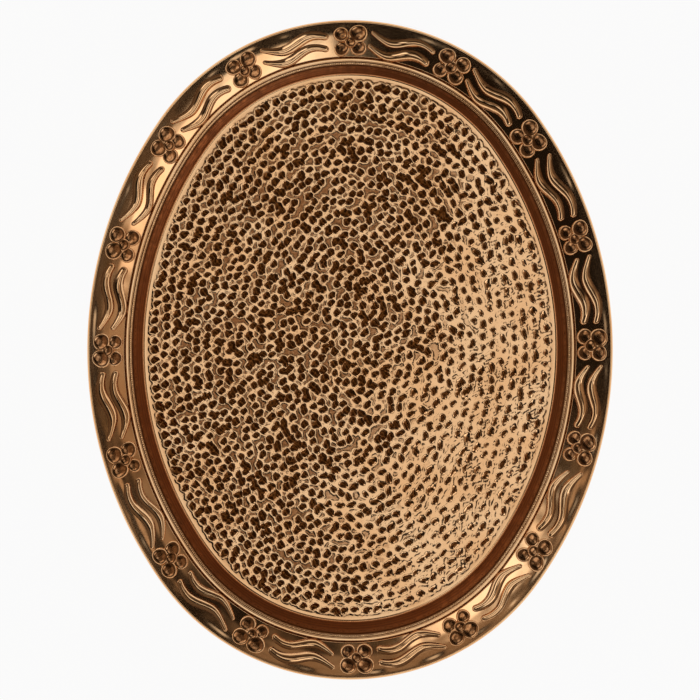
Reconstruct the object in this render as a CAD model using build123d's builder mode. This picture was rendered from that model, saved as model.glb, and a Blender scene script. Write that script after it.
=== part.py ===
from build123d import *
from math import atan2, cos, degrees, pi, radians, sin, tan
import os

# A hammered copper serving tray: one sheet raised into an oval pan, its floor punched all over, its
# rim embossed with flowers and waves, and its edge rolled round a stiffening wire.
# Frame: +Y along the length, +X across the width, +Z up, origin under the middle of the base.
# An "inset" is a horizontal distance in from the tray's outer edge. All sizes are in mm.

# Outline: four tangent arcs
tray_length = 330.0
tray_width = 262.0
edge_height = 17.8  # top of the rolled edge; the ornament stands a little higher
end_ratio = 0.88  # radius of the end arcs over half the width

# Sheet and rolled edge
sheet = 0.8
wire_diameter = 2.0
wire_clearance = 0.1  # all round the wire, inside the roll
wire_gap = 1.0  # between the butted ends of the wire
roll_flats = 6  # the roll and its wire are drawn six-sided, with a corner at the top

# Section, from the rolled edge inwards; insets and heights are those of the middle of the sheet
rim_slope = 15.0  # degrees above level
groove_side = 0.9  # run from the bottom of the groove up to the bead
bead_width = 1.2
bead_rise = 0.7
wall_slope = 65.0  # degrees above level
foot_bevel = 1.2
border_width = 2.0  # smooth band between the wall and the punched floor

# Flowers: four petals and a boss, embossed as shallow domes
flower_count = 16
motif_margin = 3.7  # from the outer edge to the outer petals
outer_petal_radius = 3.8
inner_petal_radius = 3.1
boss_radius = 2.8
petal_spread = 4.2  # of the petals to each side of the flower's middle
petal_row_gap = 0.2
groove_margin = 1.3  # from the inner petals to the groove
petal_rise = 1.0
boss_rise = 1.2
dome_sides = 6
dome_lean = 44.0  # degrees that the sides of a dome lean in

# Waves: two S-shaped ridges between each two flowers
wave_width = 3.8
wave_swing = 2.8  # of the tail from the middle line of its row
wave_rise = 0.9
wave_lean = 20.0  # degrees that the sides lean in
wave_flower_gap = 0.5

# Punched floor: rows of hollows that follow the outline
punch_pitch = 16.0
punch_margin = 3.5  # from the border to the middles of the first row
punch_radius = 2.6
punch_depth = 0.45
punch_sides = 6
punch_lean = 44.0  # degrees that the sides of a hollow lean out

half_width = tray_width / 2
half_length = tray_length / 2
end_radius = half_width * end_ratio
end_centre = half_length - end_radius
side_radius = (half_width**2 + end_centre**2 - end_radius**2) / (2 * (half_width - end_radius))
side_centre = half_width - side_radius
join = degrees(atan2(end_centre, -side_centre))

roll_step = radians(360 / roll_flats)
mitre = cos(roll_step / 2)
roll_radius = wire_diameter / 2 + (wire_clearance + sheet / 2) / mitre
roll_inset = roll_radius * mitre + sheet / 2
roll_height = edge_height - roll_radius - sheet / 2 / mitre
seat_depth = sheet / 2  # how far the domes and ridges reach into the sheet

outer_row_inset = motif_margin + outer_petal_radius
inner_row_inset = outer_row_inset + outer_petal_radius + petal_row_gap + inner_petal_radius
boss_inset = outer_row_inset + outer_petal_radius + petal_row_gap / 2
groove_inset = inner_row_inset + inner_petal_radius + groove_margin

slope = radians(rim_slope)
groove_height = roll_height + roll_radius - (groove_inset - roll_inset) * tan(slope)
bead_height = groove_height + bead_rise
wall_inset = groove_inset + groove_side + bead_width
wall_lean = radians(wall_slope)
foot_inset = wall_inset + (bead_height - sheet / 2) / tan(wall_lean)
field_inset = foot_inset + foot_bevel + border_width
first_row_inset = field_inset + punch_margin


def oval(inset):
    # The outline moved inwards: the same four centres with shorter radii.
    side, end = side_radius - inset, end_radius - inset
    CenterArc((side_centre, 0), side, 0, join)
    CenterArc((0, end_centre), end, join, 180 - 2 * join)
    CenterArc((-side_centre, 0), side, 180 - join, 2 * join)
    CenterArc((0, -end_centre), end, 180 + join, 180 - 2 * join)
    CenterArc((side_centre, 0), side, -join, join)


with BuildLine() as rim_line:
    oval(boss_inset)
rim_wire = rim_line.wires()[0]
motif_pitch = rim_wire.length / flower_count


def rim_plane(turn):
    # On the sloping face of the rim, with x clockwise along it and y outwards.
    along = rim_wire % turn
    outwards = Vector(along.Y, -along.X, 0)
    height = groove_height + (groove_inset - boss_inset) * tan(slope) + sheet / 2 / cos(slope)
    facing = Vector(0, 0, cos(slope)) - outwards * sin(slope)
    return Plane(origin=rim_wire @ turn + Vector(0, 0, height), x_dir=-along, z_dir=facing)


def row(inset):
    # Where a row of petals or waves lies on such a plane.
    return (boss_inset - inset) / cos(slope)


def dome_seat(radius):
    # The leaning sides of a dome reach its outline on the rim, and widen on down in the sheet.
    return radius + seat_depth * tan(radians(dome_lean))


with BuildPart() as outer_petal:
    with BuildSketch(Plane.XY.offset(-seat_depth)):
        RegularPolygon(dome_seat(outer_petal_radius), dome_sides)
    extrude(amount=seat_depth + petal_rise, taper=dome_lean)

with BuildPart() as inner_petal:
    with BuildSketch(Plane.XY.offset(-seat_depth)):
        RegularPolygon(dome_seat(inner_petal_radius), dome_sides)
    extrude(amount=seat_depth + petal_rise, taper=dome_lean)

with BuildPart() as boss:
    with BuildSketch(Plane.XY.offset(-seat_depth)):
        RegularPolygon(dome_seat(boss_radius), dome_sides)
    extrude(amount=seat_depth + boss_rise, taper=dome_lean)

with BuildPart() as flower:
    with Locations((-petal_spread, row(outer_row_inset)), (petal_spread, row(outer_row_inset))):
        add(outer_petal.part)
    with Locations((-petal_spread, row(inner_row_inset)), (petal_spread, row(inner_row_inset))):
        add(inner_petal.part)
    add(boss.part)

# One wave from head to tail: shares of its length along the row, of its swing across it, and of
# half its width. The row bends with the rim.
flower_width = 2 * (petal_spread + outer_petal_radius)
wave_length = motif_pitch - flower_width - 2 * wave_flower_gap
wave_line = [
    (0.5, -0.4, 0.5),
    (0.25, 0.6, 1.0),
    (-0.22, -0.75, 1.0),
    (-0.5, 1.0, 0.45),
]
rim_radius = rim_wire.length / (2 * pi)
wave_sag = wave_length**2 / 8 / rim_radius
wave_lift = wave_sag * sin(slope) / 2


def wave_edge(side):
    edge = []
    for along, across, full in wave_line:
        middle = across * wave_swing - (2 * along) ** 2 * wave_sag
        edge.append((along * wave_length, middle + side * full * wave_width / 2))
    return edge


with BuildPart() as wave:
    with BuildSketch(Plane.XY.offset(wave_lift - seat_depth)):
        Polygon(*wave_edge(1), *reversed(wave_edge(-1)), align=None)
    extrude(amount=seat_depth + wave_rise, taper=wave_lean)

# The section of the pan: the middle line of the sheet, from the floor up over the rim and round
# the wire, then its two faces.
corners = [
    (field_inset, sheet / 2),
    (foot_inset + foot_bevel, sheet / 2),
    (foot_inset - foot_bevel * cos(wall_lean), sheet / 2 + foot_bevel * sin(wall_lean)),
    (wall_inset, bead_height),
    (groove_inset + groove_side, bead_height),
    (groove_inset, groove_height),
]
for flat in range(roll_flats - 1):
    turn = flat * roll_step
    corners.append((roll_inset - roll_radius * sin(turn), roll_height + roll_radius * cos(turn)))
corners.append((roll_inset + roll_radius * mitre, roll_height))  # the lip, tucked under the rim


def sheet_face(distance):
    # The middle line moved square to its runs, so that the sheet is as thick on every run.
    line = [Vector(half_width - inset, height) for inset, height in corners]
    runs = [(end - start).normalized() for start, end in zip(line, line[1:])]
    runs = [runs[0]] + runs + [runs[-1]]
    moves = [Vector(-a.Y - b.Y, a.X + b.X) / (1 + a.dot(b)) for a, b in zip(runs, runs[1:])]
    return [point + move * distance for point, move in zip(line, moves)]


# The punch's point, from above the floor down to the bottom of a hollow, so that its sides cross the
# floor's face.
with BuildPart() as punch:
    with BuildSketch(Plane(origin=(0, 0, sheet + punch_depth), z_dir=(0, 0, -1))):
        RegularPolygon(punch_radius + punch_depth * tan(radians(punch_lean)), punch_sides)
    extrude(amount=2 * punch_depth, taper=punch_lean)


def punch_marks():
    # The middles of the hollows: row after row inwards, then one row along the middle.
    marks = []
    rows = int((end_radius - punch_radius - first_row_inset) / punch_pitch) + 1
    for row in range(rows):
        with BuildLine() as row_line:
            oval(first_row_inset + row * punch_pitch)
        wire = row_line.wires()[0]
        count = int(wire.length / punch_pitch)
        marks += [wire @ ((mark + row % 2 / 2) / count) for mark in range(count)]
    middle = int(end_centre / punch_pitch)
    marks += [Vector(0, step * punch_pitch) for step in range(-middle, middle + 1)]
    return marks


with BuildPart() as tray_pan:
    with BuildSketch():
        with BuildLine():
            oval(field_inset)
        make_face()
    extrude(amount=sheet)
    with Locations(*punch_marks()):
        add(punch.part, mode=Mode.SUBTRACT)
    with BuildLine() as outline:
        oval(0)
    with BuildSketch(Plane.XZ) as section:
        Polygon(*sheet_face(-sheet / 2), *reversed(sheet_face(sheet / 2)), align=None)
    sweep(path=outline.wires()[0])
    with Locations(*[rim_plane(motif / flower_count) for motif in range(flower_count)]):
        add(flower.part)
    with Locations(*[rim_plane((motif + 0.5) / flower_count) for motif in range(flower_count)]):
        with Locations((0, row(outer_row_inset)), (0, row(inner_row_inset))):
            add(wave.part)

# The stiffening wire: a ring inside the roll, butted at the middle of one long side.
with BuildPart() as edge_wire:
    with BuildLine(Plane.XY.offset(roll_height)) as wire_line:
        oval(roll_inset)
    with BuildSketch(Plane.XZ):
        with Locations((half_width - roll_inset, roll_height)):
            RegularPolygon(wire_diameter / 2, roll_flats, rotation=90)
    sweep(path=wire_line.wires()[0])
    with Locations((half_width - roll_inset, 0, roll_height)):
        Box(2 * wire_diameter, wire_gap, 2 * wire_diameter, mode=Mode.SUBTRACT)

tray_pan.part.label = "tray_pan"
edge_wire.part.label = "edge_wire"

os.makedirs("parts", exist_ok=True)
export_step(tray_pan.part, "parts/tray_pan.step")
export_step(edge_wire.part, "parts/edge_wire.step")
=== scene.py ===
import math

import bpy
import numpy as np
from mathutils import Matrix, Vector


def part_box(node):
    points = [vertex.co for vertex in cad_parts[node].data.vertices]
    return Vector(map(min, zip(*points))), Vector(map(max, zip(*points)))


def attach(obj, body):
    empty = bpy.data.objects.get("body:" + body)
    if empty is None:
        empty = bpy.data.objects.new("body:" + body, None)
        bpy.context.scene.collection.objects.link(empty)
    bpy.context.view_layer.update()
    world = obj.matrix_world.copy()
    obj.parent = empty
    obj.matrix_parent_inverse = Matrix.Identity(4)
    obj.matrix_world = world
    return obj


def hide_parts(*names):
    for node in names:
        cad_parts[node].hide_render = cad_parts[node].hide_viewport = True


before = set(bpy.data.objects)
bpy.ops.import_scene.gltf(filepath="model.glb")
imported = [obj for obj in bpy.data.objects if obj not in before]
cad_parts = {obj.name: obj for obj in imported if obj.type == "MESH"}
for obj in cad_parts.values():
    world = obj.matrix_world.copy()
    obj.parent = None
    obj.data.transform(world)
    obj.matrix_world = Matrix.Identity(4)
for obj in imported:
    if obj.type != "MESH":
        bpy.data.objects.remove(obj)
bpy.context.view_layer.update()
panLow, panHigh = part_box("tray_pan")
mm = 0.001
bakeMargin = 0.01  # round each layout for the bake, as a share of its width
bakeSpan = 1 - 2 * bakeMargin

# The oval of the tray, in mm. An inset is a distance in from the outer edge.
oval = {
    "width": (panHigh.x - panLow.x) / mm,
    "lengthShare": 330.0 / 262.0,  # length over width
    "endShare": 0.88,  # radius of the end arcs over half the width
    "middleInset": 11.4,  # the line along which the ornament is spaced
}

# Seeds of all that is uneven, so that every run gives the same tray.
seeds = {
    "motifs": 4, "rim": 11, "rimFine": 12, "wallLines": 13, "blows": 21, "underside": 31, "openness": 41,
    "floorBroad": 51, "floorFine": 52, "floorGrain": 53, "ragged": 54, "domes": 61, "waves": 62,
}

# The section of the sheet from the rolled edge inwards: inset, height, rounding of the corner.
section = {
    "edge": [(0.0, 15.76, 0.0), (0.0, 16.95, 0.35), (0.85, 17.62, 0.4)],
    "rim": [(6.0, 16.74, 60.0), (11.5, 15.42, 60.0), (18.1, 13.6, 0.5)],
    "groove": [(18.5, 12.95, 0.2), (18.75, 12.95, 0.2)],
    "bead": [(19.1, 13.6, 0.4), (20.4, 13.5, 0.6), (20.75, 13.05, 0.15), (20.9, 13.05, 0.15),
             (21.15, 13.3, 0.3), (21.9, 13.05, 0.45), (22.3, 12.5, 0.5)],
    "foot": [(27.3, 0.95, 0.8)],
    "fieldInset": 29.3,
    "fieldHeight": 0.85,
    "step": 0.05,  # between the points worked out along it
}

halfWidth = oval["width"] / 2
halfLength = halfWidth * oval["lengthShare"]
endRadius = halfWidth * oval["endShare"]
endCentre = halfLength - endRadius
sideRadius = (halfWidth**2 + endCentre**2 - endRadius**2) / (2 * (halfWidth - endRadius))
sideCentre = halfWidth - sideRadius
joinAngle = math.atan2(endCentre, -sideCentre)

# One row for each arc, round from +X: centre x, centre y, radius, first angle, angle covered.
arcs = np.array([
    (sideCentre, 0.0, sideRadius, 0.0, joinAngle),
    (0.0, endCentre, endRadius, joinAngle, math.pi - 2 * joinAngle),
    (-sideCentre, 0.0, sideRadius, math.pi - joinAngle, 2 * joinAngle),
    (0.0, -endCentre, endRadius, math.pi + joinAngle, math.pi - 2 * joinAngle),
    (sideCentre, 0.0, sideRadius, -joinAngle, joinAngle),
])
arcLengths = (arcs[:, 2] - oval["middleInset"]) * arcs[:, 4]
middleLength = arcLengths.sum()
arcStarts = np.concatenate([[0.0], np.cumsum(arcLengths)])[:-1]


def ovalFrame(turn):
    # A share of the middle line's length becomes its arc's centre and radius, and its angle there.
    run = np.mod(turn, 1.0) * middleLength
    index = np.clip(np.searchsorted(arcStarts, run, side="right") - 1, 0, len(arcs) - 1)
    arc = arcs[index]
    angle = arc[..., 3] + (run - arcStarts[index]) / arcLengths[index] * arc[..., 4]
    return arc[..., 0], arc[..., 1], arc[..., 2], angle


def ovalPoint(turn, inset):
    # The arc's centre plus its radius less the inset, along the arc's angle.
    centreX, centreY, radius, angle = ovalFrame(turn)
    reach = radius - inset
    return centreX + reach * np.cos(angle), centreY + reach * np.sin(angle)


def carryRound(profile, columns):
    # A section's points, given as insets and heights, carried round the oval.
    x, y = ovalPoint(np.arange(columns)[None, :] / columns, profile[:, 0][:, None])
    return x, y, profile[:, 1][:, None] + 0 * x


def insetOf(x, y):
    # Distance in from the outer edge: radius less the distance to the centre of the nearer arc.
    x, y = np.abs(x), np.abs(y)
    onSide = np.arctan2(y, x - sideCentre) < joinAngle
    side = sideRadius - np.hypot(x - sideCentre, y)
    end = endRadius - np.hypot(x, y - endCentre)
    return np.where(onSide, side, end)


def smooth(low, high, value):
    # 0 below low, 1 above high, and 3t^2 - 2t^3 between.
    t = np.clip((value - low) / (high - low), 0.0, 1.0)
    return t * t * (3 - 2 * t)


def plateau(value, limits):
    # 0 outside the first and last limit, 1 between the middle two.
    return smooth(limits[0], limits[1], value) * (1 - smooth(limits[2], limits[3], value))


def ripple(x, y, waveLength, seed):
    # Sine waves of about one length in random directions; their sum lies mostly between -1 and 1.
    rng = np.random.default_rng(seed)
    count = 8
    headings, phases = rng.uniform(0, np.pi, count), rng.uniform(0, 2 * np.pi, count)
    stretches = rng.uniform(0.7, 1.4, count)
    total = np.zeros(np.broadcast(x, y).shape)
    for heading, phase, stretch in zip(headings, phases, stretches):
        along = x * np.cos(heading) + y * np.sin(heading)
        total += np.sin(2 * np.pi * along * stretch / waveLength + phase)
    return total * 2 / count


def roundedLine(corners, step):
    # A line through the corners, each rounded to its radius, at points about a step apart.
    arcPoints = 9
    points = [np.array(corners[0][:2])]
    for before, corner, after in zip(corners, corners[1:], corners[2:]):
        here = np.array(corner[:2])
        back = np.array(before[:2]) - here
        ahead = np.array(after[:2]) - here
        back, ahead = back / np.linalg.norm(back), ahead / np.linalg.norm(ahead)
        half = math.acos(np.clip(back @ ahead, -1, 1)) / 2
        cut = corner[2] / math.tan(half)
        first, last = here + back * cut, here + ahead * cut
        middle = here + (back + ahead) / np.linalg.norm(back + ahead) * corner[2] / math.sin(half)
        for share in np.linspace(0, 1, arcPoints):
            spot = first + (last - first) * share - middle
            points.append(middle + spot / np.linalg.norm(spot) * corner[2])
    points.append(np.array(corners[-1][:2]))
    points = np.array(points)
    run = np.concatenate([[0.0], np.cumsum(np.linalg.norm(np.diff(points, axis=0), axis=1))])
    at = np.linspace(0, run[-1], max(2, round(run[-1] / step)) + 1)
    return np.stack([np.interp(at, run, points[:, 0]), np.interp(at, run, points[:, 1])], 1)


def gridFaces(rows, columns, closed):
    # Four corners for each cell of a grid of points; a closed one joins its last column to its first.
    across = np.arange(columns if closed else columns - 1)
    down = np.arange(rows - 1)[:, None]
    beside = (across + 1) % columns
    here, right = down * columns + across, down * columns + beside
    return np.stack([here, right, right + columns, here + columns], -1).reshape(-1, 4)


def fanFaces(centre, first, count):
    # Triangles from one point to each side of a closed ring of points.
    ring = np.arange(count)
    return np.stack([np.full(count, centre), first + ring, first + (ring + 1) % count], -1)


def bakeSquares(rows, columns, folds):
    # A long ring laid out for the bake as a stack of level strips, one for each fold.
    gap = 0.05  # above and below each strip, as a share of its height
    columnHere = np.arange(columns)[None, :].repeat(rows - 1, 0)
    rowHere = np.arange(rows - 1)[:, None].repeat(columns, 1)
    perFold = columns / folds
    fold = np.floor(columnHere / perFold)
    left = (columnHere - fold * perFold) / perFold
    right = (columnHere + 1 - fold * perFold) / perFold
    top, bottom = rowHere / (rows - 1), (rowHere + 1) / (rows - 1)
    u = np.stack([left, right, right, left], -1) * bakeSpan + bakeMargin
    v = (fold[..., None] + gap + (1 - 2 * gap) * np.stack([top, top, bottom, bottom], -1)) / folds
    return np.stack([u, v], -1).reshape(-1, 2)


def makeMesh(name, points, faces, bakeMap=None, marks=None, normals=None):
    # Points in mm become a smooth mesh in metres; marks are named numbers, one for each point.
    groups = faces if isinstance(faces, list) else [faces]
    corners = np.concatenate([group.ravel() for group in groups])
    sizes = np.concatenate([np.full(len(group), group.shape[1]) for group in groups])
    starts = np.concatenate([[0], np.cumsum(sizes)[:-1]])
    mesh = bpy.data.meshes.new(name)
    mesh.vertices.add(len(points))
    mesh.vertices.foreach_set("co", (points * mm).astype(np.float32).ravel())
    mesh.loops.add(len(corners))
    mesh.loops.foreach_set("vertex_index", corners.astype(np.int32))
    mesh.polygons.add(len(sizes))
    mesh.polygons.foreach_set("loop_start", starts.astype(np.int32))
    mesh.polygons.foreach_set("use_smooth", np.ones(len(sizes), bool))
    mesh.update(calc_edges=True)
    if bakeMap is not None:
        layer = mesh.uv_layers.new(name="OFBake", do_init=False)
        layer.uv.foreach_set("vector", bakeMap.astype(np.float32).ravel())
    for mark, values in (marks or {}).items():
        attribute = mesh.attributes.new(mark, "FLOAT", "POINT")
        attribute.data.foreach_set("value", values.astype(np.float32).ravel())
    mesh.validate()
    if normals is not None:
        mesh.normals_split_custom_set_from_vertices(normals.reshape(-1, 3))
    piece = bpy.data.objects.new(name, mesh)
    bpy.context.scene.collection.objects.link(piece)
    return piece


# The flowers and waves of the border, in mm along and across the middle line.
flower = {
    "count": 16,
    "drift": 0.036,  # the hand-spaced flowers lead their even places by this share of a pitch
    "sway": 0.034, "swayPhase": 0.55,  # a further lead, which comes and goes once round the tray
    "jitter": 0.012,
    "outerInset": 6.9, "outerSpread": 4.15, "outerRadius": 4.3,
    "innerInset": 14.0, "innerSpread": 4.1, "innerRadius": 3.9,
    "bossInset": 11.0, "bossRadius": 3.3,
    "petalRise": 1.34, "bossRise": 1.65,
    "flatness": 2.7, "fullness": 0.62,  # powers that give a dome its flat top and steep side
    "rings": 14, "spokes": 48,  # of each dome's mesh
    "crowding": 0.9,  # below 1 the rings lie closer together outwards
    "radiusError": 0.04, "placeError": 0.2, "riseError": 0.05,  # how far the punch strays
    "twoLobed": 0.03, "threeLobed": 0.02,  # how far an outline is from round
    "dent": 0.06, "dentLength": 3.4,
    "skirt": 0.12,  # how far the last ring reaches down into the rim
    # Each dome's top is darkened by painted shade, and the ring at its foot is lightened as a painted
    # highlight.
    "patinaAndPaintedShade": 0.52, "sidePaintedHighlight": 0.35, "sideFrom": (0.7, 0.95),
}
wave = {
    "start": 10.4,  # from the flower's middle to the head, mm along the middle line
    "length": 33.4,
    "insets": (8.2, 6.0, 9.9, 5.1),  # head, crest, trough, tail
    "crestAt": 0.25, "troughAt": 0.68,
    "innerShift": 6.5,
    "halfWidth": 2.6, "headHalfWidth": 1.9, "tailHalfWidth": 1.3,
    "widensTo": 0.4, "narrowsFrom": 0.62,  # shares of the length
    "headRound": 1.9, "tailRound": 1.2,  # length over which the two ends close
    "leastHalfWidth": 0.03,
    "rise": 1.35,
    "fullness": 1.15,  # a narrow stretch stands lower, unless its width times this is the full one
    "crown": 1.25,  # power that shapes it across
    "tailCurve": 1.6,
    "stations": 110, "across": 21,  # of each ridge's mesh
    "crowding": 0.35,  # how far the stations gather at the two ends
    "lengthError": 0.5, "placeError": 0.4, "insetError": 0.15,  # how far the chisel strays
    "widthError": 0.05, "riseError": 0.06,
    "bulge": 0.07, "bulgeRate": 7, "bulgePhase": 3,
    "dent": 0.03, "dentLength": 5.0, "dentAcross": 3,
    "skirt": 0.12,  # how far the sides reach down into the rim
    "patinaAndPaintedShade": 0.12, "sidePatina": 0.5,
}
motifRandom = np.random.default_rng(seeds["motifs"])
evenTurns = np.arange(flower["count"]) / flower["count"]
flowerTurns = (np.arange(flower["count"]) + flower["drift"]
               + flower["sway"] * np.cos(evenTurns * 2 * np.pi + flower["swayPhase"])
               + flower["jitter"] * motifRandom.normal(size=flower["count"])) / flower["count"]


topLine = roundedLine(section["edge"] + section["rim"] + section["groove"]
                      + section["bead"] + section["foot"]
                      + [(section["fieldInset"], section["fieldHeight"], 0.0)], section["step"])


def topHeight(inset):
    return np.interp(inset, topLine[:, 0], topLine[:, 1])


# The gentle unevenness that the planishing hammer leaves in the rim: height, wave length, seed.
planishing = [(0.085, 34.0, "rim"), (0.022, 12.0, "rimFine")]

# The rim's slope, from its heights under the flowers.
slopeFrom, slopeTo = 8.0, 16.0
rimTilt = math.atan2(topHeight(slopeFrom) - topHeight(slopeTo), slopeTo - slopeFrom)
print("oval and section worked out, rim slope", round(math.degrees(rimTilt), 1))


def handWave(x, y):
    return sum(height * ripple(x, y, waveLength, seeds[seed]) for height, waveLength, seed in planishing)


def rimPlace(turn, inset, lift):
    # A point of the rim's face, moved square to the face by lift.
    angle = ovalFrame(turn)[3]
    x, y = ovalPoint(turn, inset)
    z = topHeight(inset) + handWave(x, y)
    push = lift * math.sin(rimTilt)
    return np.stack([x - push * np.cos(angle), y - push * np.sin(angle), z + lift * math.cos(rimTilt)], -1)


def domeShape(share, rise):
    # Height over the rim at a share of the radius: a flat round top that drops fast at its edge.
    return rise * (1 - np.clip(share, 0, 1) ** flower["flatness"]) ** flower["fullness"]


def flowerDomes():
    # Place along and across the rim, radius and rise of the four petals and the boss.
    domes = []
    for row in ("outer", "inner"):
        inset, radius = flower[row + "Inset"], flower[row + "Radius"]
        for side in (-1, 1):
            domes.append((side * flower[row + "Spread"], inset, radius, flower["petalRise"]))
    domes.append((0.0, flower["bossInset"], flower["bossRadius"], flower["bossRise"]))
    return domes


def makeDomes():
    # Each dome is a middle point and rings, closer together towards the steep outer side.
    rings, spokes = flower["rings"], flower["spokes"]
    share = np.sin(np.linspace(0, np.pi / 2, rings)[1:]) ** flower["crowding"]
    around = np.linspace(0, 2 * np.pi, spokes, endpoint=False)
    ringFaces, fan = gridFaces(rings - 1, spokes, True) + 1, fanFaces(0, 1, spokes)[:, ::-1]
    shares = np.concatenate([[0.0], np.repeat(share, spokes)])
    angles = np.concatenate([[0.0], np.tile(around, rings - 1)])
    points, quads, fans, base = [], [], [], 0
    for turn in flowerTurns:
        for aside, inset, radius, rise in flowerDomes():
            wobble = motifRandom.normal(size=8)
            radius = radius * (1 + flower["radiusError"] * wobble[0])
            aside = aside + flower["placeError"] * wobble[1]
            inset = inset + flower["placeError"] * wobble[2]
            rise = rise * (1 + flower["riseError"] * wobble[3])
            outline = (1 + flower["twoLobed"] * np.cos(2 * angles + wobble[4])
                       + flower["threeLobed"] * np.cos(3 * angles + wobble[5]))
            along = aside + radius * outline * shares * np.cos(angles)
            inwards = inset - radius * outline * shares * np.sin(angles)
            elsewhere = 9 * wobble[6]  # so that no two domes have the same dents
            dents = ripple(along + elsewhere, inwards, flower["dentLength"], seeds["domes"])
            lift = domeShape(shares, rise) + flower["dent"] * dents * (1 - shares**2)
            lift = lift - flower["skirt"] * (shares == shares[-1])
            arcRadius = ovalFrame(turn)[2]
            stretch = (arcRadius - oval["middleInset"]) / (arcRadius - inset)
            place = rimPlace(turn + along * stretch / middleLength, inwards, lift)
            points.append(place)
            quads.append(ringFaces + base)
            fans.append(fan + base)
            base += len(place)
    # Painted shade over each dome's top, less of it towards the foot, where the lighter ring is a painted
    # highlight.
    patinaAndPaintedShade = flower["patinaAndPaintedShade"] - flower["sidePaintedHighlight"] * smooth(*flower["sideFrom"], shares)
    marks = np.tile(patinaAndPaintedShade, len(points))
    return makeMesh("borderFlowers", np.concatenate(points), [np.concatenate(quads), np.concatenate(fans)],
                    None, {"patinaAndPaintedShade": marks})


def waveInset(t):
    # Middle of a ridge from head to tail: a parabola to the crest, half a cosine to the trough,
    # and a power curve out to the tail.
    head, crest, trough, tail = wave["insets"]
    first = crest + (head - crest) * (1 - t / wave["crestAt"]) ** 2
    swing = (t - wave["crestAt"]) / (wave["troughAt"] - wave["crestAt"])
    second = crest + (trough - crest) * (1 - np.cos(np.pi * np.clip(swing, 0, 1))) / 2
    out = np.clip((t - wave["troughAt"]) / (1 - wave["troughAt"]), 0, 1)
    third = trough + (tail - trough) * out ** wave["tailCurve"]
    return np.where(t < wave["crestAt"], first, np.where(t < wave["troughAt"], second, third))


def waveHalfWidth(t):
    # Widening from the head and narrowing again towards the tail.
    head, full = wave["headHalfWidth"], wave["halfWidth"]
    width = head + (full - head) * smooth(0, wave["widensTo"], t)
    return width + (wave["tailHalfWidth"] - width) * smooth(wave["narrowsFrom"], 1.0, t)


def roundEnd(distance, radius):
    # Share of the full width near a round end: a quarter of a circle.
    return np.sqrt(np.clip(1 - (1 - np.clip(distance / radius, 0, 1)) ** 2, 0, 1))


def makeWaves():
    # Each ridge is a grid of stations along its middle and places across it.
    stations, across, crowding = wave["stations"], wave["across"], wave["crowding"]
    gathered = (1 - np.cos(np.linspace(0, np.pi, stations))) / 2
    t = gathered * crowding + np.linspace(0, 1, stations) * (1 - crowding)
    side = np.sin(np.linspace(-np.pi / 2, np.pi / 2, across))
    points, faces, marks, base = [], [], [], 0
    sheetFaces = gridFaces(stations, across, False)
    for index, turn in enumerate(flowerTurns):
        ahead = flowerTurns[(index + 1) % flower["count"]] - turn
        ahead += 1.0 if ahead < 0 else 0.0
        room = ahead * middleLength
        for row in (0, 1):
            wobble = motifRandom.normal(size=7)
            length = wave["length"] + wave["lengthError"] * wobble[0]
            length = length * room / (middleLength / flower["count"])
            along = wave["start"] + wave["placeError"] * wobble[1] + t * length
            middle = waveInset(t) + row * wave["innerShift"] + wave["insetError"] * wobble[2]
            rounding = roundEnd(t * length, wave["headRound"]) * roundEnd((1 - t) * length, wave["tailRound"])
            bulges = wave["bulge"] * np.sin(wave["bulgeRate"] * t + wave["bulgePhase"] * wobble[5])
            width = waveHalfWidth(t) * (1 + wave["widthError"] * wobble[3] + bulges)
            width = np.maximum(width * rounding, wave["leastHalfWidth"])
            slopeAlong = np.gradient(middle, along)
            bend = 1 / np.sqrt(1 + slopeAlong**2)
            offAlong = side[None, :] * (width * slopeAlong * bend)[:, None]
            offAcross = -side[None, :] * (width * bend)[:, None]
            fullness = np.minimum(1, width / wave["halfWidth"] * wave["fullness"])
            rise = wave["rise"] * (1 + wave["riseError"] * wobble[4]) * fullness
            lift = rise[:, None] * (1 - side[None, :] ** 2) ** wave["crown"]
            elsewhere = 7 * wobble[6]  # so that no two ridges have the same dents
            dents = ripple(along[:, None] + elsewhere, wave["dentAcross"] * side[None, :],
                           wave["dentLength"], seeds["waves"])
            lift = lift + wave["dent"] * dents * (1 - side[None, :] ** 2) * rounding[:, None]
            lift = lift - wave["skirt"] * (np.abs(side[None, :]) == side[-1])
            place = rimPlace(turn + (along[:, None] + offAlong) / middleLength,
                             middle[:, None] + offAcross, lift)
            points.append(place.reshape(-1, 3))
            faces.append(sheetFaces + base)
            marks.append(np.tile(wave["patinaAndPaintedShade"] + wave["sidePatina"] * np.abs(side) ** 4, stations))
            base += stations * across
    return makeMesh("borderWaves", np.concatenate(points), np.concatenate(faces), None,
                    {"patinaAndPaintedShade": np.concatenate(marks)})


# The grid of the rim and wall: the section's top line carried round the oval.
rimBand = {
    "columns": 1200,
    "step": 0.45, "fineStep": 0.15,
    "fineInsets": (2.2, 17.6, 22.6),  # fine out to the first, and from the second in to the third
    "seam": 18.62,  # the groove's bottom, where the rim's mesh meets the wall's
    "planished": (2.0, 4.5, 25.0, 27.5),  # insets between which the uneven height comes and goes
    "lined": (22.4, 23.0, 25.6, 26.4),  # the same for the lines drawn along the wall
    "line": 0.03, "lineLength": 1.15, "lineError": 0.8, "lineErrorLength": 90.0,
    "grooves": [(18.62, 0.25), (20.82, 0.2), (22.3, 0.3)],  # inset and half width of the dark lines
    "grooveDark": 1.1,
    "wall": (21.8, 22.4, 26.4, 27.8),  # insets between which the wall's own colour comes and goes
    "wallPatina": 0.36,
    "bands": 0.5, "bandLength": 0.9,  # darker and lighter lines along the wall
    "streak": (23.5, 0.5),  # inset and half width of a lighter line along it
    "streakLessDarkening": 0.9, "streakLessDull": 0.35,
    "ticks": (20.9, 21.1, 22.0, 22.3),
    "borderFrom": (28.0, 29.0),
    "borderPatina": 0.2,
    "folds": 6,  # strips of the bake layout
}


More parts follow.
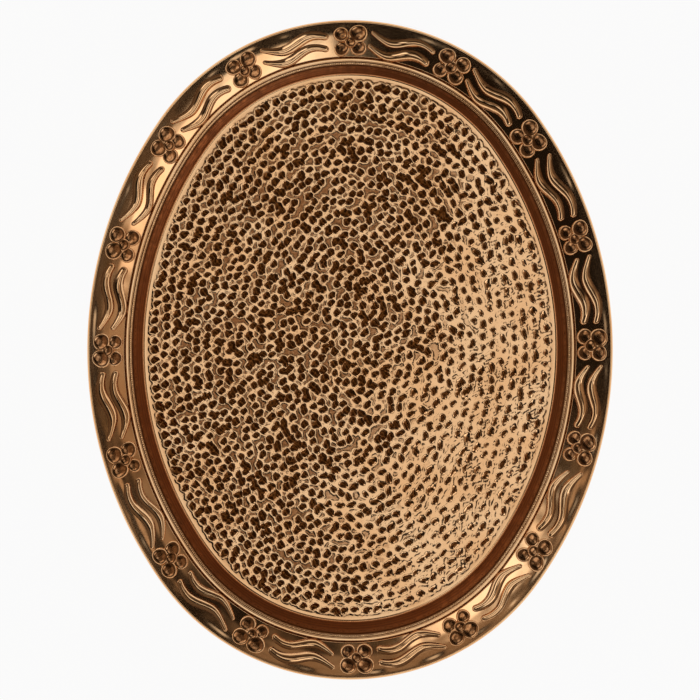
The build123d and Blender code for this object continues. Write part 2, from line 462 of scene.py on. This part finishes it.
def bandRows(first, last):
    # Rows of the top line between two insets, closer together at the edge and over the bead.
    slack = 0.001
    line = topLine[(topLine[:, 0] > first - slack) & (topLine[:, 0] < last + slack)]
    edgeEnd, beadStart, beadEnd = rimBand["fineInsets"]
    fine = (line[:, 0] < edgeEnd) | (line[:, 0] > beadStart) & (line[:, 0] < beadEnd)
    run = np.cumsum(np.where(fine, 1 / rimBand["fineStep"], 1 / rimBand["step"]) * section["step"])
    pick = np.searchsorted(run, np.arange(run[0], run[-1], 1.0))
    return line[np.unique(np.concatenate([pick, [len(line) - 1]]))]


def lineMark(inset, line):
    # 1 along the middle of a line that runs round the tray, falling to 0 at its sides.
    middle, width = line
    return np.exp(-((inset - middle) / width) ** 2)


def makeBand(name, first, last):
    # The sheet between two insets: the rim, or the bead and the wall.
    line = bandRows(first, last)
    columns = rimBand["columns"]
    x, y, z = carryRound(line, columns)
    z = z + handWave(x, y) * plateau(line[:, 0], rimBand["planished"])[:, None]
    drawn = np.sin(2 * np.pi * line[:, 0] / rimBand["lineLength"]) * rimBand["line"]
    drawn = drawn * plateau(line[:, 0], rimBand["lined"])
    error = rimBand["lineError"] * ripple(x, y, rimBand["lineErrorLength"], seeds["wallLines"])
    z = z + drawn[:, None] * (1 + error)
    points = np.stack([x, y, z], -1).reshape(-1, 3)
    faces = gridFaces(len(line), columns, True)
    inset = np.repeat(line[:, 0], columns)
    wall = plateau(inset, rimBand["wall"])
    streak = lineMark(inset, rimBand["streak"])
    bands = 1 + rimBand["bands"] * np.sin(2 * np.pi * inset / rimBand["bandLength"])
    darkening = rimBand["wallPatina"] * wall * (1 - rimBand["streakLessDarkening"] * streak) * bands
    for groove in rimBand["grooves"]:
        darkening += rimBand["grooveDark"] * lineMark(inset, groove)
    darkening += rimBand["borderPatina"] * smooth(*rimBand["borderFrom"], inset)
    marks = {
        "patinaAndPaintedShade": np.clip(darkening, 0, 1),
        "ticks": plateau(inset, rimBand["ticks"]),
        "dull": wall * (1 - rimBand["streakLessDull"] * streak),
    }
    return makeMesh(name, points, faces, bakeSquares(len(line), columns, rimBand["folds"]), marks)


# The rolled edge. Its angles are in degrees, from the outermost point and down.
roll = {
    "inset": 1.77,
    "radius": 1.77,
    "height": 15.76,
    "thickness": 0.72,
    "lipAngle": 158.0,
    "backAngle": -60.0,  # where the inner face ends, hidden under the rim
    "frontPoints": 24, "backPoints": 18,
    "folds": 8,  # strips of the bake layout
    "patinaAndPaintedShade": 0.1, "lipPatina": 0.7, "darkensOver": (4, 16),  # rows of the mesh
}


def rollArc(radius, first, last, count):
    angle = np.radians(np.linspace(-first, -last, count))
    return np.stack([roll["inset"] - radius * np.cos(angle), roll["height"] + radius * np.sin(angle)], 1)


def makeRoll():
    # The sheet carried down outside the wire and in under the rim to its lip, and back inside.
    columns = rimBand["columns"]
    front = rollArc(roll["radius"], 0.0, roll["lipAngle"], roll["frontPoints"])
    inner = roll["radius"] - roll["thickness"]
    behind = rollArc(inner, roll["lipAngle"], roll["backAngle"], roll["backPoints"])
    profile = np.concatenate([front, behind])
    points = np.stack(carryRound(profile, columns), -1).reshape(-1, 3)
    faces = gridFaces(len(profile), columns, True)[:, ::-1]
    squares = bakeSquares(len(profile), columns, roll["folds"]).reshape(-1, 4, 2)[:, ::-1].reshape(-1, 2)
    towardsLip = smooth(*roll["darkensOver"], np.arange(len(profile), dtype=float))
    darkening = np.repeat(roll["patinaAndPaintedShade"] + roll["lipPatina"] * towardsLip, columns)
    return makeMesh("rolledEdge", points, faces, squares, {"patinaAndPaintedShade": darkening})


# The back of the sheet: inset, height and rounding of its section's corners.
back = {
    "line": [(2.6, 16.3, 0.0), (6.0, 15.9, 20.0), (11.5, 14.6, 20.0), (17.2, 12.7, 2.0),
             (20.3, 12.1, 1.2), (26.3, 0.5, 1.4), (29.5, 0.0, 1.0), (34.0, 0.0, 0.0)],
    "step": 0.6,
    "rings": 70, "crowding": 0.8,  # rings of the mesh from the end of that line to the middle
    "uneven": 0.12, "unevenLength": 17.0, "unevenFrom": (29.0, 36.0),
    "patinaAndPaintedShade": 0.25,
}


def makeUnder():
    # Under the rim, down the wall and over the base to the middle.
    columns = rimBand["columns"] // 2
    x, y, z = carryRound(roundedLine(back["line"], back["step"]), columns)
    shares = np.linspace(1, 0, back["rings"])[1:-1] ** back["crowding"]
    innerX = x[-1][None, :] * shares[:, None]
    innerY = y[-1][None, :] * shares[:, None]
    x, y = np.concatenate([x, innerX]), np.concatenate([y, innerY])
    z = np.concatenate([z, 0 * innerX])
    rows = len(x)
    x, y, z = np.append(x, 0.0), np.append(y, 0.0), np.append(z, 0.0)
    depth = smooth(*back["unevenFrom"], insetOf(x, y)) * back["uneven"]
    z = z + depth * (0.5 + 0.5 * ripple(x, y, back["unevenLength"], seeds["underside"])).clip(0, 1)
    quads = gridFaces(rows, columns, True)[:, ::-1]
    fan = fanFaces(rows * columns, (rows - 1) * columns, columns)[:, ::-1]
    return makeMesh("underside", np.stack([x, y, z], -1), [quads, fan], None,
                    {"patinaAndPaintedShade": np.full(len(x), back["patinaAndPaintedShade"])})


# The blows on the floor. An open value holds where they are small and wide apart.
punches = {
    "openLean": 0.3, "openWander": (12.0, 70.0), "openOver": (-10.0, 90.0),  # where they open out
    "firstRow": 3.4,  # from the field's edge
    "lastRow": 2.0,  # no row lies nearer to the long axis
    "rowPitch": 5.3,
    "middleReach": 0.4,  # how far the blows on the long axis go towards the last row, in row pitches
    "pitch": 4.8, "openPitch": 6.0,
    "samples": 4000,  # places tried along each row
    "overlap": 0.6,  # how far a row may run past the long axis
    "jitter": 0.95, "edgeJitter": 0.4,
    "looseOver": (4.0, 34.0),  # distances from the field's edge over which the jitter grows
    "openTidiness": 0.6,
    "clearEdge": 1.0,  # between the field's edge and the nearest blow
    "gap": 3.9, "openGap": 4.4,  # the least distance between two blows
    "gapRounds": 8,
    "radius": 1.7, "openRadius": 1.1,
    "radiusSpread": ((0.8, -0.2), (1.1, 0.1)),  # least and most share, each with its change where open
    "stretch": 1.08, "openStretch": 2.0,  # how far a blow is drawn out along the outline
    "stretchSpread": (0.92, 1.15),
    "turning": (0.9, 0.75),  # how far a blow turns from the outline, and how much less where open
    "depth": 0.62, "openDepth": 0.56,
    "depthSpread": (0.75, 1.15),
    "bowl": 1.25,  # power that shapes a dent
    "lip": 0.16, "openLip": 0.06,  # height of the ring that a blow throws up
    "lipReach": (2.35, 3.0),  # where the ring begins to fall and where it has fallen
    "lipShape": (0.8, 0.2),  # its height at a blow's middle, and what it gains by the blow's edge
    "ragged": 0.4, "raggedLength": 3.2,  # how far the dents' outlines wander
    "raggedFrom": (0.2, 0.7),  # shares of the radius over which they begin to
    "double": 0.14,  # share of the close blows that were struck twice
    "doubleStep": 2.1,
    "reach": 4.6,  # of all that one blow moves
    "cell": 0.2,  # of the relief's raster
    "margin": 3.0,  # of the raster beyond the field
    "softness": 0.2,
    "columns": 540, "rows": 700,  # cells across the square that becomes the floor
}


def openness(x, y):
    # 1 where the blows are small and wide apart, towards +X and a little towards -Y, 0 where close.
    wander, wanderLength = punches["openWander"]
    lean = x - punches["openLean"] * y + wander * ripple(x, y, wanderLength, seeds["openness"])
    return smooth(*punches["openOver"], lean)


def between(name, openName, share):
    return punches[name] + (punches[openName] - punches[name]) * share


def punchCentres(rng):
    # Rings of blows that follow the outline, ever less even towards the middle.
    found = []
    inset = section["fieldInset"] + punches["firstRow"]
    samples = punches["samples"]
    while inset < halfWidth - punches["lastRow"]:
        x, y = ovalPoint(np.arange(samples) / samples, inset)
        inside = insetOf(x, y) > inset - punches["overlap"]
        stepLength = np.hypot(np.diff(x, prepend=x[-1]), np.diff(y, prepend=y[-1])) * inside
        run = np.cumsum(stepLength / between("pitch", "openPitch", openness(x, y)))
        count = max(1, int(run[-1]))
        places = (np.arange(count) + rng.uniform()) / count * run[-1]
        pick = np.searchsorted(run, places).clip(0, samples - 1)
        ring = np.stack([x[pick], y[pick]], 1)
        loose = smooth(*punches["looseOver"], inset - section["fieldInset"])
        loose = loose * (1 - punches["openTidiness"] * openness(ring[:, 0], ring[:, 1]))
        spread = punches["edgeJitter"] + (punches["jitter"] - punches["edgeJitter"]) * loose
        found.append(ring + rng.normal(size=ring.shape) * spread[:, None])
        inset += punches["rowPitch"]
    across = np.arange(-halfLength, halfLength, punches["pitch"])
    middle = across[insetOf(0 * across, across) > inset - punches["middleReach"] * punches["rowPitch"]]
    jitter = rng.normal(size=(len(middle), 2)) * punches["edgeJitter"]
    found.append(np.stack([0 * middle, middle], 1) + jitter)
    return keepApart(np.concatenate(found))


def keepApart(centres):
    # Blows closer than the least distance are moved apart, a few times over.
    farOff = 99  # stands for a blow's distance to itself
    for _ in range(punches["gapRounds"]):
        least = between("gap", "openGap", openness(centres[:, 0], centres[:, 1]))
        offset = centres[:, None] - centres[None]
        distance = np.hypot(offset[..., 0], offset[..., 1]) + np.eye(len(centres)) * farOff
        push = np.clip(least[:, None] - distance, 0, None) / distance / 2
        centres = centres + (offset * push[..., None]).sum(1)
    return centres


def blowList(rng):
    # One row for each blow: place, radius, depth, lip, heading and stretch.
    centres = punchCentres(rng)
    clear = section["fieldInset"] + punches["clearEdge"]
    centres = centres[insetOf(centres[:, 0], centres[:, 1]) > clear]
    share = openness(centres[:, 0], centres[:, 1])
    twice = rng.uniform(size=len(centres)) < punches["double"] * (1 - share)
    aside = rng.uniform(0, 2 * np.pi, twice.sum())
    second = centres[twice] + punches["doubleStep"] * np.stack([np.cos(aside), np.sin(aside)], 1)
    centres, share = np.concatenate([centres, second]), np.concatenate([share, share[twice]])
    x, y = centres[:, 0], centres[:, 1]
    near = 0.1  # the outline's direction is read from insets this far to each side
    heading = np.arctan2(insetOf(x + near, y) - insetOf(x - near, y),
                         insetOf(x, y - near) - insetOf(x, y + near))
    turning, steadier = punches["turning"]
    heading = heading + rng.normal(size=len(x)) * (turning - steadier * share)
    least, most = (close + change * share for close, change in punches["radiusSpread"])
    radius = between("radius", "openRadius", share) * rng.uniform(least, most)
    depth = between("depth", "openDepth", share) * rng.uniform(*punches["depthSpread"], len(x))
    lip = between("lip", "openLip", share)
    stretch = between("stretch", "openStretch", share) * rng.uniform(*punches["stretchSpread"], len(x))
    return np.stack([x, y, radius, depth, lip, heading, stretch], 1)


def punchRelief():
    # A raster of the floor's height: each blow sinks a round dent with a raised lip.
    inset, margin, cell = section["fieldInset"], punches["margin"], punches["cell"]
    xs = np.arange(-halfWidth + inset - margin, halfWidth - inset + margin, cell)
    ys = np.arange(-halfLength + inset - margin, halfLength - inset + margin, cell)
    relief = np.zeros((len(ys), len(xs)))
    reach = punches["reach"]
    lipMiddle, lipGain = punches["lipShape"]
    for x, y, radius, depth, lipHeight, heading, stretch in blowList(np.random.default_rng(seeds["blows"])):
        left, right = np.searchsorted(xs, (x - reach, x + reach))
        low, high = np.searchsorted(ys, (y - reach, y + reach))
        offX, offY = xs[left:right][None, :] - x, ys[low:high][:, None] - y
        along = offX * np.cos(heading) + offY * np.sin(heading)
        side = -offX * np.sin(heading) + offY * np.cos(heading)
        share = np.hypot(along / stretch, side) / radius
        farX, farY = offX + 5 * x, offY + 5 * y  # spread out, so that no two blows have one outline
        wander = punches["ragged"] * ripple(farX, farY, punches["raggedLength"], seeds["ragged"])
        share = share + wander / radius * smooth(*punches["raggedFrom"], share)
        dent = -depth * np.clip(1 - share**2, 0, 1) ** punches["bowl"]
        lip = lipHeight * (1 - smooth(*punches["lipReach"], share * radius)) * (lipMiddle + lipGain * share)
        window = relief[low:high, left:right]
        beyond = np.where(window < 0, window, np.maximum(window, lip))
        relief[low:high, left:right] = np.where(share < 1, np.minimum(window, dent), beyond)
    return xs, ys, soften(relief, punches["softness"] / cell)


def soften(field, width):
    # A Gaussian blur, first along the rows and then down the columns.
    reach = int(3 * width) + 1
    kernel = np.exp(-0.5 * (np.arange(-reach, reach + 1) / width) ** 2)
    kernel /= kernel.sum()
    for axis in (0, 1):
        field = sum(share * np.roll(field, offset, axis) for offset, share in
                    zip(range(-reach, reach + 1), kernel))
    return field


def sample(xs, ys, field, x, y):
    # Bilinear reading of the raster.
    cell = xs[1] - xs[0]
    column, row = (x - xs[0]) / cell, (y - ys[0]) / cell
    left, low = np.floor(column).astype(int), np.floor(row).astype(int)
    left, low = left.clip(0, len(xs) - 2), low.clip(0, len(ys) - 2)
    a, b = column - left, row - low
    return ((1 - a) * (1 - b) * field[low, left] + a * (1 - b) * field[low, left + 1]
            + (1 - a) * b * field[low + 1, left] + a * b * field[low + 1, left + 1])


def edgeReach(heading):
    # Distance from the middle to the field's edge in each direction, by halving.
    halvings = 34
    low, high = np.zeros(heading.shape), np.full(heading.shape, halfLength)
    for _ in range(halvings):
        middle = (low + high) / 2
        outside = insetOf(middle * np.cos(heading), middle * np.sin(heading)) < section["fieldInset"]
        low, high = np.where(outside, low, middle), np.where(outside, middle, high)
    return (low + high) / 2


# What the floor has beside its blows.
floorFinish = {
    "edge": 0.8, "patinaEdge": (0.6, 2.2),  # distances from the field's edge over which these set in
    # Height of the unevenness, its gain where the blows are open, wave length and seed.
    "uneven": [(0.03, 0.0, 45.0, "floorBroad"), (0.017, 0.012, 2.1, "floorGrain"),
               (0.025, 0.045, 4.2, "floorFine")],
    "leastHeight": 0.12,
    "pitPatina": 0.92,
    # Depths where a pit starts to darken and where it is dark, each with its gain where open.
    "pitDepths": ((0.0, 0.1), (0.14, 0.26)),
    "lowPaintedShade": 0.5,  # painted shade on the low ground between close blows
    "lowFrom": (0.2, 0.7),  # shares of the lip's height
    "openLowShare": 0.85,  # how much less painted shade the low ground gets where the blows are open
}


def floorSurface():
    # A square grid drawn out to the oval ring by ring, so that its cells stay even in size.
    xs, ys, field = punchRelief()
    columns, rows = punches["columns"], punches["rows"]
    a, b = np.meshgrid(np.linspace(-1, 1, columns + 1), np.linspace(-1, 1, rows + 1))
    ring = np.maximum(np.abs(a), np.abs(b))
    tiny = 1e-9  # keeps the middle of the grid from dividing by nothing
    share = np.minimum(np.abs(a), np.abs(b)) / np.maximum(ring, tiny)
    quarter = np.pi / 4 * share
    heading = np.where(np.abs(a) >= np.abs(b), quarter, np.pi / 2 - quarter)
    heading = np.where(a < 0, np.pi - heading, heading)
    heading = np.where(b < 0, -heading, heading)
    reach = edgeReach(heading)
    x, y = ring * reach * np.cos(heading), ring * reach * np.sin(heading)
    height = sample(xs, ys, field, x, y)
    inside, openShare = insetOf(x, y) - section["fieldInset"], openness(x, y)
    edge = smooth(0.0, floorFinish["edge"], inside)
    uneven = sum((rise + gain * openShare) * ripple(x, y, waveLength, seeds[seed])
                 for rise, gain, waveLength, seed in floorFinish["uneven"])
    z = np.maximum(section["fieldHeight"] + (height + uneven) * edge, floorFinish["leastHeight"])
    points = np.stack([x, y, z], -1)
    normals = np.cross(np.gradient(points, axis=1), np.gradient(points, axis=0))
    normals /= np.linalg.norm(normals, axis=-1, keepdims=True)
    edge = edge * smooth(*floorFinish["patinaEdge"], inside)
    lipShare = height / between("lip", "openLip", openShare)
    # Painted shade on the low ground between the lips of close blows.
    low = floorFinish["lowPaintedShade"] * (1 - smooth(*floorFinish["lowFrom"], lipShare))
    low = low * (1 - floorFinish["openLowShare"] * openShare)
    shallow, deep = (depth + gain * openShare for depth, gain in floorFinish["pitDepths"])
    pits = floorFinish["pitPatina"] * smooth(shallow, deep, -height)
    dark = np.maximum(pits, low) * edge + rimBand["borderPatina"] * (1 - edge)
    return points, normals, dark


def makeFloor(surface, name, east, north):
    # One quarter of the floor.
    midColumn, midRow = punches["columns"] // 2, punches["rows"] // 2
    across = slice(midColumn, None) if east else slice(0, midColumn + 1)
    up = slice(midRow, None) if north else slice(0, midRow + 1)
    points, normals, dark = (field[up, across] for field in surface)
    faces = gridFaces(points.shape[0], points.shape[1], False)
    flat = points.reshape(-1, 3)[:, :2]
    spread = (flat - flat.min(0)) / (flat.max(0) - flat.min(0)) * bakeSpan + bakeMargin
    return makeMesh(name, points.reshape(-1, 3), faces, spread[faces.ravel()],
                    {"patinaAndPaintedShade": dark.ravel()}, normals)


class Value:
    # Wraps a socket so that masks are added and multiplied as numbers are.
    def __init__(self, bench, socket):
        self.bench, self.socket = bench, socket

    def maths(self, operation, first, second):
        return self.bench.node("Math", {"operation": operation}, {0: first, 1: second})

    def __add__(self, other):
        return self.maths("ADD", self, other)

    def __sub__(self, other):
        return self.maths("SUBTRACT", self, other)

    def __rsub__(self, other):
        return self.maths("SUBTRACT", other, self)

    def __mul__(self, other):
        return self.maths("MULTIPLY", self, other)


class Bench:
    # The node tree of one material or of the world.
    def __init__(self, tree):
        self.tree = tree

    def node(self, kind, settings=None, values=None, output=0):
        made = self.tree.nodes.new("ShaderNode" + kind)
        for setting, value in (settings or {}).items():
            setattr(made, setting, value)
        for slot, value in (values or {}).items():
            if isinstance(value, Value):
                self.tree.links.new(value.socket, made.inputs[slot])
            else:
                made.inputs[slot].default_value = value
        return Value(self, made.outputs[output]) if len(made.outputs) else None

    def blend(self, factor, first, second):
        return self.node("Mix", {"data_type": "RGBA"}, {0: factor, 6: first, 7: second}, 2)

    def step(self, value, low, high):
        return self.node("MapRange", {"interpolation_type": "SMOOTHSTEP"}, {0: value, 1: low, 2: high})

    def dot(self, first, second):
        return self.node("VectorMath", {"operation": "DOT_PRODUCT"}, {0: first, 1: second}, 1)

    def mark(self, name):
        return self.node("Attribute", {"attribute_name": name}, {}, 2)


# Colours, roughnesses and grain of the copper. Scales are per metre, depths in metres.
copper = {
    "polished": (0.82, 0.51, 0.27, 1.0),
    "rosy": (0.76, 0.43, 0.205, 1.0),
    "wall": (0.46, 0.15, 0.045, 1.0),
    "redBrown": (0.40, 0.17, 0.065, 1.0),
    "patinaAndPaintedShade": (0.125, 0.042, 0.009, 1.0),
    "cloudScale": 38.0, "cloudDetail": 3.0, "cloudEdges": (0.35, 0.65),
    "speckScale": 900.0, "speckDetail": 2.0, "speckShare": 0.8,
    "redBrownAt": 0.6,  # of the darkening, from which the colour of patina and painted shade takes over
    "patinaRoughness": 0.3, "dullRoughness": 0.25, "speckRoughness": 0.06,
    "grainDepth": 0.0001, "darkGrain": 3.0,  # and how much coarser it is in the patina
    "ticksPerFold": 132, "tickWander": 2.5,
    "tickDepth": 0.00004,
}


# How strongly each finish shows its patina and painted shade, and its grain, and how rough it is where clean.
finishes = {
    "polishedCopper": (0.85, 0.02, 0.11),
    "rollCopper": (0.85, 0.02, 0.2),
    "tickedCopper": (0.85, 0.02, 0.11),
    "punchedCopper": (1.0, 0.25, 0.11),
    "wireCopper": (0.5, 0.3, 0.11),
}


def copperMaterial(name, ticked=False):
    # Polished copper with rosy clouds, darkened by the piece's mark of patina and painted shade, and dulled
    # by its own marks.
    patinaAndShadeShare, grain, roughness = finishes[name]
    material = bpy.data.materials.new(name)
    material.use_nodes = True
    material.node_tree.nodes.clear()
    bench = Bench(material.node_tree)
    place = bench.node("TexCoord", output=3)
    clouds = bench.node("TexNoise", {}, {"Vector": place, "Scale": copper["cloudScale"],
                                         "Detail": copper["cloudDetail"]})
    speck = bench.node("TexNoise", {}, {"Vector": place, "Scale": copper["speckScale"],
                                        "Detail": copper["speckDetail"]})
    mark = bench.mark("patinaAndPaintedShade")
    dark = bench.step(mark * patinaAndShadeShare + (speck - 0.5) * copper["speckShare"] * mark, 0.0, 1.0)
    metal = bench.blend(bench.step(clouds, *copper["cloudEdges"]), copper["polished"], copper["rosy"])
    dull = bench.mark("dull")
    metal = bench.blend(dull, metal, copper["wall"])
    metal = bench.blend(bench.step(dark, 0.0, copper["redBrownAt"]), metal, copper["redBrown"])
    colour = bench.blend(dark, metal, copper["patinaAndPaintedShade"])
    rough = dark * (copper["patinaRoughness"] - roughness) + roughness
    rough = rough + (speck - 0.5) * copper["speckRoughness"] + dull * copper["dullRoughness"]
    bump = bench.node("Bump", {}, {"Height": speck * (mark * copper["darkGrain"] + 1.0), "Strength": grain,
                                   "Distance": copper["grainDepth"]})
    if ticked:
        along = bench.node("SeparateXYZ", {}, {0: bench.node("UVMap", {"uv_map": "OFBake"})})
        phase = (along - bakeMargin) * (2 * math.pi * copper["ticksPerFold"] / bakeSpan)
        tick = bench.node("Math", {"operation": "SINE"}, {0: phase + speck * copper["tickWander"]})
        bump = bench.node("Bump", {}, {"Height": tick * bench.mark("ticks"), "Strength": 1.0,
                                       "Distance": copper["tickDepth"], "Normal": bump})
    shader = bench.node("BsdfPrincipled", {}, {
        "Base Color": colour, "Metallic": 1.0, "Roughness": rough, "Normal": bump})
    bench.node("OutputMaterial", {}, {"Surface": shader})
    return material


def dress(piece, material):
    piece.data.materials.clear()
    piece.data.materials.append(material)


polishedCopper = copperMaterial("polishedCopper")
rollCopper = copperMaterial("rollCopper")
tickedCopper = copperMaterial("tickedCopper", ticked=True)
punchedCopper = copperMaterial("punchedCopper")

surface = floorSurface()
print("floor relief worked out")
pieces = []
for name, east, north in (("punchedFloorNorthEast", True, True), ("punchedFloorNorthWest", False, True),
                          ("punchedFloorSouthEast", True, False), ("punchedFloorSouthWest", False, False)):
    pieces.append(makeFloor(surface, name, east, north))
    dress(pieces[-1], punchedCopper)
for name, first, last in (("rim", 0.0, rimBand["seam"]),
                          ("beadAndWall", rimBand["seam"], section["fieldInset"])):
    pieces.append(makeBand(name, first, last))
    dress(pieces[-1], tickedCopper)
pieces.append(makeRoll())
dress(pieces[-1], rollCopper)
for piece in (makeUnder(), makeDomes(), makeWaves()):
    dress(piece, polishedCopper)
    pieces.append(piece)
for piece in pieces:
    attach(piece, "root")
    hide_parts("tray_pan")
    print(piece.name, sum(len(face.vertices) - 2 for face in piece.data.polygons), "triangles")
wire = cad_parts["edge_wire"]
wire.data.materials.clear()
wire.data.materials.append(copperMaterial("wireCopper"))


studio = {
    "overheadTilt": 5.0,  # degrees off straight up, towards -Y, of the bright panel overhead
    "overhead": (9.5, 13.0),  # degrees from its middle between which it fades
    "horizon": (67.0, 74.0),
    "dark": 0.012,
    "haze": (34.0, 46.0, 0.13),  # the tilts between which the dark room grows lighter, and its level
    "warm": (1.0, 0.76, 0.56, 1.0),  # tint of the dark room
    # Azimuth, half width, softness, the tilts between which it fades in and out, level.
    "panels": [
        (139, 16, 14, (18.0, 23.0, 34.0, 40.0), 1.7),
        (304, 24, 13, (25.5, 29.5, 40.0, 46.0), 1.6),
    ],
    "glows": [
        (100, 46, 14, (10.5, 12.5, 17.0, 24.0), 0.28),
        (0, 28, 14, (23.0, 28.0, 40.0, 50.0), 0.38),
        (335, 20, 10, (15.0, 19.0, 26.0, 32.0), 0.09),
        (9, 5, 5, (15.0, 16.5, 19.5, 21.0), 0.65),
        (176, 5, 4, (16.0, 17.0, 19.5, 21.0), 0.45),
        (165, 12, 8, (13.0, 15.0, 24.0, 30.0), 0.12),
    ],
}


def cosine(degrees):
    return math.cos(math.radians(degrees))


def makeWorld():
    # Bright overhead and at the horizon, dark between, with bright panels and dim warm glows.
    world = bpy.data.worlds.new("studio")
    bpy.context.scene.world = world
    world.use_nodes = True
    world.node_tree.nodes.clear()
    bench = Bench(world.node_tree)
    direction = bench.node("TexCoord", output=0)
    height = bench.dot(direction, (0, 0, 1))
    level = bench.node("VectorMath", {"operation": "MULTIPLY"}, {0: direction, 1: (1, 1, 0)})
    compass = bench.node("VectorMath", {"operation": "NORMALIZE"}, {0: level})

    def beyond(near, far):
        # 0 nearer straight up than the first tilt, 1 lower than the second.
        return 1.0 - bench.step(height, cosine(far), cosine(near))

    def panel(azimuth, halfSpan, softness, tilts, strength):
        facing = bench.dot(compass, (cosine(azimuth), math.sin(math.radians(azimuth)), 0))
        spans = bench.step(facing, cosine(halfSpan + softness), cosine(halfSpan))
        return spans * beyond(tilts[0], tilts[1]) * (1.0 - beyond(tilts[2], tilts[3])) * strength

    lean = math.radians(studio["overheadTilt"])
    overhead = bench.dot(direction, (0, -math.sin(lean), math.cos(lean)))
    inner, outer = (cosine(angle) for angle in studio["overhead"])
    bright = bench.step(overhead, outer, inner) + beyond(*studio["horizon"])
    for values in studio["panels"]:
        bright = bright + panel(*values)
    dim = beyond(*studio["haze"][:2]) * studio["haze"][2] + studio["dark"]
    for values in studio["glows"]:
        dim = dim + panel(*values)
    white = bench.node("Background", {}, {"Color": (1, 1, 1, 1), "Strength": bright})
    warm = bench.node("Background", {}, {"Color": studio["warm"], "Strength": dim})
    both = bench.node("AddShader", {}, {0: white, 1: warm})
    bench.node("OutputWorld", {}, {"Surface": both})


# The table, in mm.
stage = {"reach": 3000.0, "height": -0.2, "white": (0.9, 0.9, 0.9, 1.0), "glow": 0.94}


def makeStage():
    # A white table far wider than the view, which gives off most of its white itself.
    reach, height = stage["reach"], stage["height"]
    corners = np.array([(-reach, -reach, height), (reach, -reach, height),
                        (reach, reach, height), (-reach, reach, height)])
    table = makeMesh("table", corners, np.array([[0, 1, 2, 3]]))
    material = bpy.data.materials.new("tableWhite")
    material.use_nodes = True
    material.node_tree.nodes.clear()
    bench = Bench(material.node_tree)
    direct = bench.node("LightPath", output=0)
    glossy = bench.node("LightPath", output=3)
    through = bench.node("LightPath", output=6)
    seen = bench.node("Math", {"operation": "MAXIMUM"}, {0: glossy, 1: through})
    seen = bench.node("Math", {"operation": "MAXIMUM"}, {0: direct, 1: seen})
    paper = bench.node("BsdfDiffuse", {}, {"Color": stage["white"]})
    white = bench.node("Emission", {}, {"Color": (1, 1, 1, 1), "Strength": 1.0})
    mixed = bench.node("MixShader", {}, {0: seen * stage["glow"], 1: paper, 2: white})
    bench.node("OutputMaterial", {}, {"Surface": mixed})
    table.data.materials.append(material)


camera = {
    "distance": 2600.0, "farthest": 20000.0,
    "sensor": 36.0,
    "tilt": 5.0,  # degrees off straight down, towards +Y
    "span": 349.1,  # mm across the view, at the height of the rolled edge
    "aim": (0.0, 0.75, 15.8),
}


def makeCamera():
    data = bpy.data.cameras.new("camera")
    data.sensor_width = camera["sensor"]
    data.lens = camera["sensor"] * camera["distance"] / camera["span"]
    data.clip_end = camera["farthest"] * mm
    eye = bpy.data.objects.new("camera", data)
    bpy.context.scene.collection.objects.link(eye)
    tilt = math.radians(camera["tilt"])
    away = Vector((0, math.sin(tilt), math.cos(tilt))) * camera["distance"]
    eye.location = (Vector(camera["aim"]) + away) * mm
    eye.rotation_euler = (-tilt, 0, 0)
    bpy.context.scene.camera = eye


makeWorld()
makeStage()
makeCamera()
bpy.context.scene.view_settings.view_transform = "Standard"
